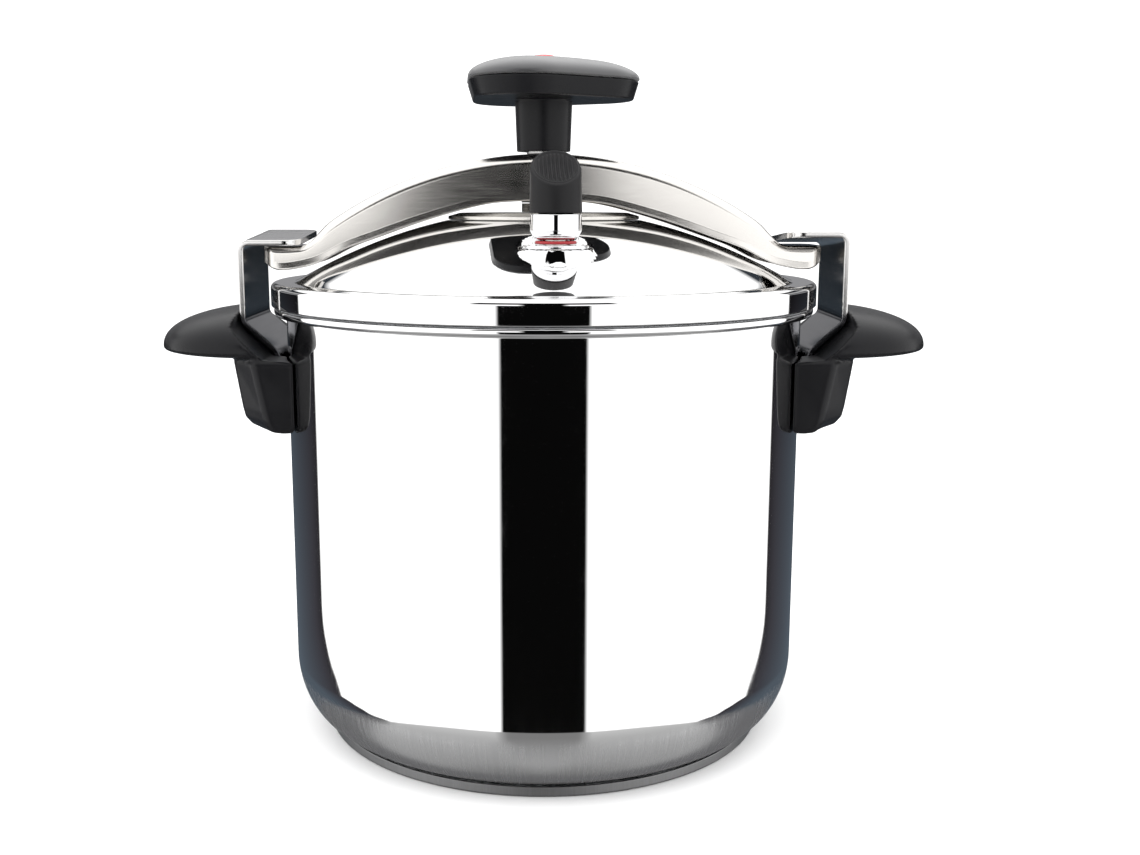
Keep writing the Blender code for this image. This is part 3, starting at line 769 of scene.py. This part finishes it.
def make_handle(side, turn):
    low = GRIP_LOW.z
    leg = skinned("leg", [
        leg_row(low, 99.0, 107.0, 111.0, 42.0),
        leg_row(low + 0.8, 99.0, 109.5, 118.5, 45.0),
        leg_row(low + 2.5, 99.0, 111.0, 123.5, 46.3),
        leg_row(low + 5.5, 99.0, 112.5, 126.0, 46.8),
        leg_row(low + 10.0, 99.0, 113.6, 127.0, 47.0),
        leg_row(163.0, 99.0, 117.4, 130.0, 47.0),
        leg_row(172.0, 99.0, 116.0, 126.0, 42.0),
    ])
    foot = POT_R + STRAP + 2 * GAP + 0.2
    outer = STRAP_HIGH.x + 0.5
    slope = [(100.0, 195.0), (outer, 195.0), (outer, 177.6), (foot + 0.9, 165.0)]
    slot = slope + [(foot, 163.0), (foot, 140.4), (100.0, 140.4)]
    wedge = [(x + 0.02, z) for x, z in slope] + [(100.0, 163.5)]
    pot_side = spun("pot_side", plug(POT_R + 0.5, 100.0, 200.0), POT_STEPS)
    mesh = combined("handle", grip_mesh(), [
        (leg, "UNION"),
        (pot_side, "DIFFERENCE"),
        (block("slope", wedge, 60.0), "DIFFERENCE"),
        (block("slot", slot, STRAP_HIGH.y + 0.6), "DIFFERENCE"),
        (cross_rod("stud_hole", 3.3, 105.0, 135.0), "DIFFERENCE"),
        (cross_rod("nut_recess", 6.2, 119.0, 140.0), "DIFFERENCE"),
    ])
    thing = scratch_object("handle_form", mesh)
    remesh = thing.modifiers.new("even", "REMESH")
    remesh.mode = "VOXEL"
    remesh.voxel_size = 0.75 * MM
    soften = thing.modifiers.new("soften", "SMOOTH")
    soften.factor = 0.5
    soften.iterations = 5
    mesh = baked(thing)
    mesh.transform(Matrix.Rotation(turn, 4, "Z"))
    piece(f"grip_{side}", mesh, "pot", BLACK, [f"handle_{side}"], weighted=False)


# ---------------------------------------------------------------- knob

LOBE_OFFSET = 17.0
LOBE_R = 24.0
KNOB_TURN = math.radians(4.0)
KNOB_UNDER = 271.2
KNOB_REACH = LOBE_OFFSET + LOBE_R
COVER_CROWN = 2.6


def knob_ring(radius, z):
    """Outline of the three-lobed knob for one lobe radius, points evenly set."""
    ring = []
    for lobe in range(3):
        middle = KNOB_TURN + lobe * 2 * math.pi / 3
        following = middle + 2 * math.pi / 3
        for step in range(27):
            angle = middle + math.radians(-60 + 120 * step / 26)
            x = LOBE_OFFSET * math.cos(middle) + radius * math.cos(angle)
            y = LOBE_OFFSET * math.sin(middle) + radius * math.sin(angle)
            ring.append((x, y, z))
        start = Vector(ring[-1])
        side = Vector((math.cos(following) - math.cos(middle), math.sin(following) - math.sin(middle), 0.0))
        ring += [tuple(start + side * LOBE_OFFSET * t / 10) for t in range(1, 10)]
    return ring


def cover_ring(radius, share, base, rise):
    """One ring of the domed cover, lower towards the lobes' ends."""
    ring = []
    for x, y, _ in knob_ring(radius, 0.0):
        fall = COVER_CROWN * (x * x + y * y) / KNOB_REACH ** 2
        ring.append((x, y, base + (rise - fall) * share))
    return ring


def make_knob():
    low, seam = HUB_LOW.z, HUB_HIGH.z
    under = KNOB_UNDER
    side = fillet([
        (4.0, under),
        (LOBE_R - 2.6, under, 1.2),
        (LOBE_R - 0.3, seam - 0.3, 0.5),
        (LOBE_R - 1.4, seam, 0.3),
        (4.0, seam),
    ], 0.5, steps=6)
    hub = skinned("knob_hub", [knob_ring(radius, z) for radius, z in side])
    stem = spun("stem", fillet([
        (0.0, under + 3.0), (14.2, under + 3.0, 0.1), (14.2, under + 0.05, 0.1), (12.3, under - 0.1, 1.8),
        (11.5, low, 0.5), (0.0, low),
    ], 0.5), 96)
    bore = spun("bore", [
        (0.0, seam + 2.0), (5.4, seam + 2.0), (5.4, 275.3), (2.8, 275.3), (2.8, 272.4), (4.8, 272.4),
        (4.8, 262.4), (6.3, 262.4), (6.3, 252.4), (7.7, 252.4), (7.7, low - 2.0), (0.0, low - 2.0),
    ], 64)
    hub = combined("knob_hub", hub, [(stem, "UNION"), (bore, "DIFFERENCE")])
    piece("knob_hub", hub, "knob", BLACK, ["knob_body"])
    base = seam + GAP
    lip = base + 0.45
    rise = COVER_HIGH.z - lip
    rows = [knob_ring(LOBE_R - 1.2, base), knob_ring(LOBE_R - 0.35, base + 0.05)]
    for degrees in range(0, 89, 3):
        level = math.radians(degrees)
        rows.append(cover_ring(LOBE_R * math.cos(level) ** 0.85, math.sin(level) ** 0.9, lip, rise))
    last = rows[-1]
    for share in (0.8, 0.6, 0.4, 0.34, 0.30, 0.15):
        ring = [(x * share, y * share) for x, y, _ in last]
        rows.append([(x, y, lip + rise - COVER_CROWN * (x * x + y * y) / KNOB_REACH ** 2) for x, y in ring])
    cover = skinned("knob_cover", rows)
    badge_low, badge_high = box("knob_badge")
    badge_r = badge_high.x
    seat_r, seat_floor = badge_r + GAP, badge_low.z - GAP
    seat = spun("seat", plug(seat_r, seat_floor, 300.0), 64)
    cover = combined("knob_cover_dome", cover, [(seat, "DIFFERENCE")])
    piece("knob_cover_dome", cover, "knob", COVER_BLACK, ["knob_cover"])
    outline = [
        (0.0, badge_high.z), (badge_r - 1.2, badge_high.z - 0.15, 2.0),
        (badge_r, badge_high.z - 0.8, 0.6), (badge_r, badge_low.z, 0.2), (0.0, badge_low.z),
    ]
    lathe("red_badge", outline, "knob", RED, ["knob_badge"], steps=96)


THREAD_R = 5.9
THREAD_ROOT_R = 5.2
THREAD_PITCH = 2.0
THREAD_END = 230.8


def make_spindle():
    """Threaded screw from the knob through the yoke."""
    low, high = box("spindle")
    top = YOKE_HIGH.z
    outline = [
        (0.0, high.z), (4.5, high.z), (4.5, 262.0), (6.0, 262.0), (6.0, top + 3.6), (7.3, top + 3.6),
        (7.3, top + 0.5), (THREAD_R, top + 0.5),
    ]
    crest = top - 0.5
    while crest > THREAD_END:
        root_high, root_low = crest - THREAD_PITCH * 0.45, crest - THREAD_PITCH * 0.55
        outline += [(THREAD_R, crest), (THREAD_ROOT_R, root_high), (THREAD_ROOT_R, root_low)]
        crest -= THREAD_PITCH
    outline += [
        (THREAD_R, 230.2), (5.4, 229.8), (4.2, 229.8), (4.2, 228.0),
        (THREAD_R, 228.0), (THREAD_R, 226.4), (4.9, low.z), (0.0, low.z),
    ]
    lathe(
        "threaded_spindle", outline, "knob", SPINDLE_STEEL, ["spindle"],
        radius=0.12, steps=96,
    )


# ---------------------------------------------------------------- valves

CAP_R = 10.0
CAP_STEPS = 288
FACE_R = 9.6
FACE_LOW = 234.7
RIB_PITCH = 1.55
RIB_HEIGHT = 0.34


def thumb_face(x, y):
    """Height of the cap's slanted face above its plane, at a point from its axis."""
    away = math.hypot(x, y) / FACE_R
    rim = 0.32 * math.exp(-((away - 0.865) / 0.030) ** 2)
    dish = -1.15 * (1 - eased(0.35, 0.84, away)) - 0.25 * (1 - eased(0.80, 0.87, away))
    inside = 1 - eased(0.72, 0.83, away)
    rib = RIB_HEIGHT * inside * math.cos(2 * math.pi * x / RIB_PITCH)
    edge = -0.9 * (1 - math.sqrt(max(0.0, 1 - (max(away - 0.935, 0.0) / 0.065) ** 2)))
    return rim + dish + rib + edge


def make_valve_cap():
    rings = 96
    slope = (CAP_HIGH.z - FACE_LOW) / (2 * FACE_R)
    middle = (CAP_HIGH.z + FACE_LOW) / 2
    foot = CAP_LOW.z
    turns = [2 * math.pi * step / CAP_STEPS for step in range(CAP_STEPS)]
    round_cap = [(math.cos(turn), math.sin(turn)) for turn in turns]
    rows = []
    for level in range(1, rings + 1):
        radius = FACE_R * (level / rings) ** 0.9
        face = [(radius * x, radius * y) for x, y in round_cap]
        rows.append([(x, y, middle + slope * y + thumb_face(x, y)) for x, y in face])
    edge = rows[-1]
    for share in (0.04, 0.10, 0.25, 0.5, 0.75, 0.92):
        radius = FACE_R + (CAP_R - FACE_R) * share
        heights = [z + (foot + 0.5 - z) * share for _, _, z in edge]
        rows.append([(radius * x, radius * y, z) for (x, y), z in zip(round_cap, heights)])
    skirt = [
        (CAP_R, foot + 0.45), (CAP_R - 0.12, foot + 0.12), (CAP_R - 0.45, foot), (6.8, foot), (6.8, 231.8),
    ]
    for radius, z in skirt:
        rows.append([(radius * x, radius * y, z) for x, y in round_cap])
    cap = skinned("regulator_cap", rows)
    cap.transform(Matrix.Translation((*(FRONT * MM), 0.0)) @ Matrix.Rotation(LID_TURN, 4, "Z"))
    piece("regulator_cap", cap, "valve_head", CAP_BLACK, ["valve_cap"])


def make_valves():
    low, high = WEIGHT_LOW.z, WEIGHT_HIGH.z
    shoulder = CAP_LOW.z - GAP
    weight = [
        (0.0, high), (6.5, high), (6.5, shoulder), (9.9, shoulder, 0.5), (9.9, 218.0, 0.4),
        (8.6, low + 0.8, 0.8), (7.0, low, 0.6), (4.8, low), (4.8, 224.0), (0.0, 224.0),
    ]
    lathe("regulator_weight", weight, "valve_head", CHROME, ["valve_weight"], at=FRONT)
    rise = FLANGE_LOW.z
    flange = [
        (11.3, rise + 0.7), (11.6, rise + 1.4, 0.3), (12.7, rise + 1.2, 0.5), (12.7, rise, 0.5),
        (4.3, rise), (4.3, rise + 1.0), (10.6, rise + 0.7),
    ]
    lathe("vent_washer", flange, "lid", CHROME, ["vent_flange"], radius=0.15, at=FRONT)
    seal_low, seal_high = box("vent_seal_ring")
    seal_top = seal_high.z - 0.2
    seal = [(7.9, seal_top), (7.9, seal_low.z), (6.0, seal_low.z), (6.0, seal_top)]
    lathe("seal_ring", seal, "lid", RED_RUBBER, ["vent_seal_ring"], radius=0.6, at=FRONT)
    base = RELIEF_LOW.z
    pad = FLANGE_LOW.z
    body = [
        (6.4, 218.6), (6.8, 218.0), (6.8, pad + 3.1), (8.4, pad + 2.3), (8.4, pad), (5.5, pad),
        (5.5, base), (1.6, base), (1.6, base + 3.0), (4.6, base + 3.0), (4.6, 218.6),
    ]
    lathe("relief_body", body, "lid", CHROME, ["safety_valve_body"], steps=96, at=REAR)
    cap = [(5.4, 220.6), (6.6, 219.8), (6.6, 218.9), (2.6, 218.9), (2.6, 220.6)]
    lathe("relief_cap", cap, "lid", CHROME, ["safety_valve_cap"], steps=96, at=REAR)
    pin_low, pin_high = box("safety_valve_pin")
    pin = [
        (0.0, pin_high.z), (2.2, pin_high.z, 0.7), (2.2, 208.0, 0.1),
        (4.2, 208.0, 0.2), (4.2, pin_low.z, 0.2), (0.0, pin_low.z),
    ]
    lathe("relief_pin", pin, "safety_pin", BRASS, ["safety_valve_pin"], steps=64, at=REAR)


# ---------------------------------------------------------------- carried-over nodes

CARRIED = {
    "base_core": ALUMINIUM,
    "lid_gasket": GREY_RUBBER,
    "spindle_seat": DISC_STEEL,
    "seat_retaining_ring": DISC_STEEL,
    "yoke_nut": SPINDLE_STEEL,
    "vent_pipe": DISC_STEEL,
    "vent_nut": DISC_STEEL,
    "safety_valve_nut": DISC_STEEL,
    "safety_valve_spring": SPINDLE_STEEL,
    "valve_plunger": DISC_STEEL,
    "knob_screw": CHROME,
    "handle_stud_left": SPINDLE_STEEL,
    "handle_stud_right": SPINDLE_STEEL,
    "handle_nut_left": CHROME,
    "handle_nut_right": CHROME,
}


def paint_carried():
    for name, paint in CARRIED.items():
        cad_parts[name].material_slots[0].material = paint


# ---------------------------------------------------------------- stage

CAMERA_PITCH = math.radians(10.13)
CAMERA_AWAY = 0.5567
CAMERA_HEIGHT = 0.2287
LENS = 39.92
SHIFT_X = 0.0231
CARD_HALF_ANGLE = 18.7
CARD_NECK = 9.5
CARD_HEAD = 30.0
WALL_END = 118.0
AMBIENT = 1.45
WHITE = 1.55
CARD_BLACK = 0.003


def make_camera():
    data = bpy.data.cameras.new("camera")
    data.lens = LENS
    data.sensor_width = 36.0
    data.shift_x = SHIFT_X
    data.clip_start = 0.01
    camera = bpy.data.objects.new("camera", data)
    camera.location = (0.0, -CAMERA_AWAY, CAMERA_HEIGHT)
    camera.rotation_euler = (math.pi / 2 - CAMERA_PITCH, 0.0, 0.0)
    bpy.context.scene.collection.objects.link(camera)
    bpy.context.scene.camera = camera


def make_floor():
    """Plain pale floor that fades into the backdrop."""
    mesh = bpy.data.meshes.new("floor")
    reach = 6.0
    corners = [(-reach, -reach, 0), (reach, -reach, 0), (reach, reach, 0), (-reach, reach, 0)]
    mesh.from_pydata(corners, [], [(0, 1, 2, 3)])
    paint = Paint("pale_floor", (0.90, 0.90, 0.90), 0.9, Specular_IOR_Level=0.0)
    mottle = paint.noise((2, 2, 2), 2.0)
    paint.colour(paint.blend(mottle, (0.92, 0.92, 0.92), (0.93, 0.93, 0.93)))
    mesh.materials.append(paint.material)
    floor = bpy.data.objects.new("floor", mesh)
    floor.location.z = CAD_BOX[0].z - 0.0002
    floor.visible_glossy = False
    bpy.context.scene.collection.objects.link(floor)


def area_light(name, place, aim, size, power):
    data = bpy.data.lights.new(name, "AREA")
    data.shape = "SQUARE"
    data.size = size
    data.energy = power
    lamp = bpy.data.objects.new(name, data)
    lamp.location = place
    lamp.rotation_euler = (Vector(aim) - Vector(place)).to_track_quat("-Z", "Y").to_euler()
    lamp.visible_camera = False
    lamp.visible_glossy = False
    bpy.context.scene.collection.objects.link(lamp)


def level(degrees):
    """Height value of the sky at one elevation."""
    return 0.5 + 0.5 * math.sin(math.radians(degrees))


def sideways(degrees):
    """Share value of the sky at one angle round from the front."""
    return 0.5 + 0.5 * math.cos(math.radians(degrees))


class Sky:
    """World node tree; share runs from 1 in front to 0 behind, height from 0 below to 1 above."""

    def __init__(self, name):
        world = bpy.data.worlds.new(name)
        bpy.context.scene.world = world
        world.use_nodes = True
        world.cycles.sampling_method = "NONE"
        self.nodes, self.links = world.node_tree.nodes, world.node_tree.links
        split = self.nodes.new("ShaderNodeSeparateXYZ")
        self.links.new(self.nodes.new("ShaderNodeTexCoord").outputs["Generated"], split.inputs["Vector"])
        x, y, z = split.outputs
        plan = self.math("SQRT", self.math("ADD", self.math("MULTIPLY", x, x), self.math("MULTIPLY", y, y)))
        backward = self.math("DIVIDE", y, self.math("MAXIMUM", plan, 0.0001))
        self.share = self.math("SUBTRACT", 0.5, self.math("MULTIPLY", backward, 0.5))
        self.height = self.math("ADD", self.math("MULTIPLY", z, 0.5), 0.5)

    def math(self, operation, first, second=0.0):
        made = self.nodes.new("ShaderNodeMath")
        made.operation = operation
        for socket, value in zip(made.inputs, (first, second)):
            if isinstance(value, (int, float)):
                socket.default_value = value
            else:
                self.links.new(value, socket)
        return made.outputs[0]

    def mix(self, factor, first, second):
        """Colour between two colours, each a grey, a colour or a socket."""
        made = self.nodes.new("ShaderNodeMix")
        made.data_type = "RGBA"
        sockets = [s for s in made.inputs if s.type == "RGBA"]
        for socket, value in zip(sockets, (first, second)):
            if isinstance(value, (tuple, float)):
                socket.default_value = rgba(value)
            else:
                self.links.new(value, socket)
        self.links.new(factor, made.inputs["Factor"])
        return next(s for s in made.outputs if s.type == "RGBA")

    def ramp(self, source, stops, interpolation="LINEAR"):
        """Colour ramp through (position, grey or colour) stops."""
        made = self.nodes.new("ShaderNodeValToRGB")
        band = made.color_ramp
        band.interpolation = interpolation
        band.elements[0].position, band.elements[1].position = stops[0][0], stops[-1][0]
        for position, _ in stops[1:-1]:
            band.elements.new(position)
        for element, (_, colour) in zip(band.elements, stops):
            element.color = rgba(colour)
        self.links.new(source, made.inputs["Fac"])
        return made.outputs["Color"]

    def by_height(self, *stops, interpolation="LINEAR"):
        return self.ramp(self.height, [(level(angle), value) for angle, value in stops], interpolation)

    def by_share(self, *stops, share=None, interpolation="LINEAR"):
        places = [(sideways(angle), value) for angle, value in stops]
        return self.ramp(share or self.share, places, interpolation)


def rgba(value):
    return (*value, 1.0) if isinstance(value, tuple) else (value, value, value, 1.0)


def front_wall(sky):
    """White wall with a black card in the middle: wide, then a narrow neck, then a wider head."""
    wide, narrow, head = (
        sky.by_share((half + 0.4, WHITE), (half - 0.4, CARD_BLACK))
        for half in (CARD_HALF_ANGLE, CARD_NECK, CARD_HEAD)
    )
    at_neck = sky.by_height((-2.9, 0.0), (-2.3, 1.0))
    at_head = sky.by_height((14, 0.0), (16, 1.0))
    return sky.mix(at_head, sky.mix(at_neck, wide, narrow), head)


def rear_wall(sky, share):
    """Dim wall that fades upwards, with two pale bands."""
    dim = sky.by_share(
        (165, (0.09, 0.113, 0.14)), (126, (0.055, 0.054, 0.065)), (WALL_END, (0.029, 0.0265, 0.030)),
        share=share,
    )
    fading = sky.by_height((-18, 1.0), (-11, 0.80), (-5, 0.36), (-2, 0.12), (8, 0.14), (20, 0.40))
    low_band = sky.by_height((-0.5, 0.0), (1, 1.0), (4, 1.0), (6, 0.0))
    high_band = sky.by_height((7, 0.0), (9, 1.0), (14, 1.0), (17, 0.0))
    faded = sky.mix(fading, 0.0, dim)
    return sky.mix(low_band, sky.mix(high_band, faded, (0.47, 0.47, 0.48)), (0.30, 0.30, 0.31))


def ground(sky, share):
    """Grey ground, darker under the card and behind."""
    lit = sky.by_height((-90, 0.20), (-66, 0.354), (-46, 0.44), (-32, 0.54), (-24.5, 0.68))
    shaded = sky.by_height((-90, 0.29), (-66, 0.43), (-51, 0.38), (-43, 0.33), (-30, 0.24))
    under_card = sky.by_share((CARD_HALF_ANGLE + 3, 0.0), (CARD_HALF_ANGLE - 3, 1.0))
    behind = sky.by_share((WALL_END + 6, 1.0), (WALL_END - 6, 0.0), share=share)
    return sky.mix(behind, sky.mix(under_card, lit, shaded), (0.15, 0.15, 0.155))


def make_studio():
    """Soft box of white walls, with a black card in front and a dim wall behind.

    The pattern lights only glossy rays; everything else sees even white. The dim
    wall comes further round near the ground, and the ground sinks at the sides.
    """
    sky = Sky("studio")
    bend = sky.by_height(
        (-50, 0.02), (-36, 0.22), (-29.4, 0.36), (-27.8, 0.28), (-25, 0.22),
        (-22.5, 0.15), (-20.8, 0.07), (-19, 0.01), (-16, 0.0), interpolation="CARDINAL",
    )
    bent_share = sky.math("SUBTRACT", sky.share, bend)
    sink = sky.by_share((88, 0.038), (72, 0.036), (47, 0.008), (0, 0.0), interpolation="CARDINAL")
    sunk_height = sky.math("ADD", sky.height, sink)
    at_rear = sky.by_share((WALL_END + 0.8, 1.0), (WALL_END, 0.0), share=bent_share)
    wall = sky.mix(at_rear, front_wall(sky), rear_wall(sky, bent_share))
    at_ground = sky.ramp(sunk_height, [(level(-24.6), 1.0), (level(-24.0), 0.0)])
    lower = sky.mix(at_ground, wall, ground(sky, bent_share))
    in_front = sky.by_share((CARD_HEAD + 3, 0.0), (CARD_HEAD + 1, 1.0))
    above_front = sky.by_height((38, 0.0), (42, 1.0))
    above_back = sky.by_height((22, 0.0), (25, 1.0))
    above = sky.mix(in_front, above_back, above_front)
    pattern = sky.mix(above, lower, WHITE)
    glossy = sky.nodes.new("ShaderNodeLightPath").outputs["Is Glossy Ray"]
    sky.links.new(sky.mix(glossy, AMBIENT, pattern), sky.nodes["Background"].inputs["Color"])


def make_stage():
    make_camera()
    make_floor()
    make_studio()
    area_light("top_light", (0.0, -0.2, 1.6), (0.0, 0.0, 0.1), 1.4, 9.0)
    area_light("left_light", (-1.3, -0.9, 0.9), (0.0, 0.0, 0.15), 1.0, 7.0)
    area_light("right_light", (1.4, -0.7, 0.7), (0.0, 0.0, 0.15), 1.0, 4.0)
    view = bpy.context.scene.view_settings
    view.view_transform = "Standard"
    view.look = "None"


make_pot()
make_lid()
make_disc()
make_yoke()
for side_name, half_turn in (("right", 0.0), ("left", math.pi)):
    make_bracket(side_name, half_turn)
    make_handle(side_name, half_turn)
make_knob()
make_spindle()
make_valve_cap()
make_valves()
paint_carried()
make_stage()
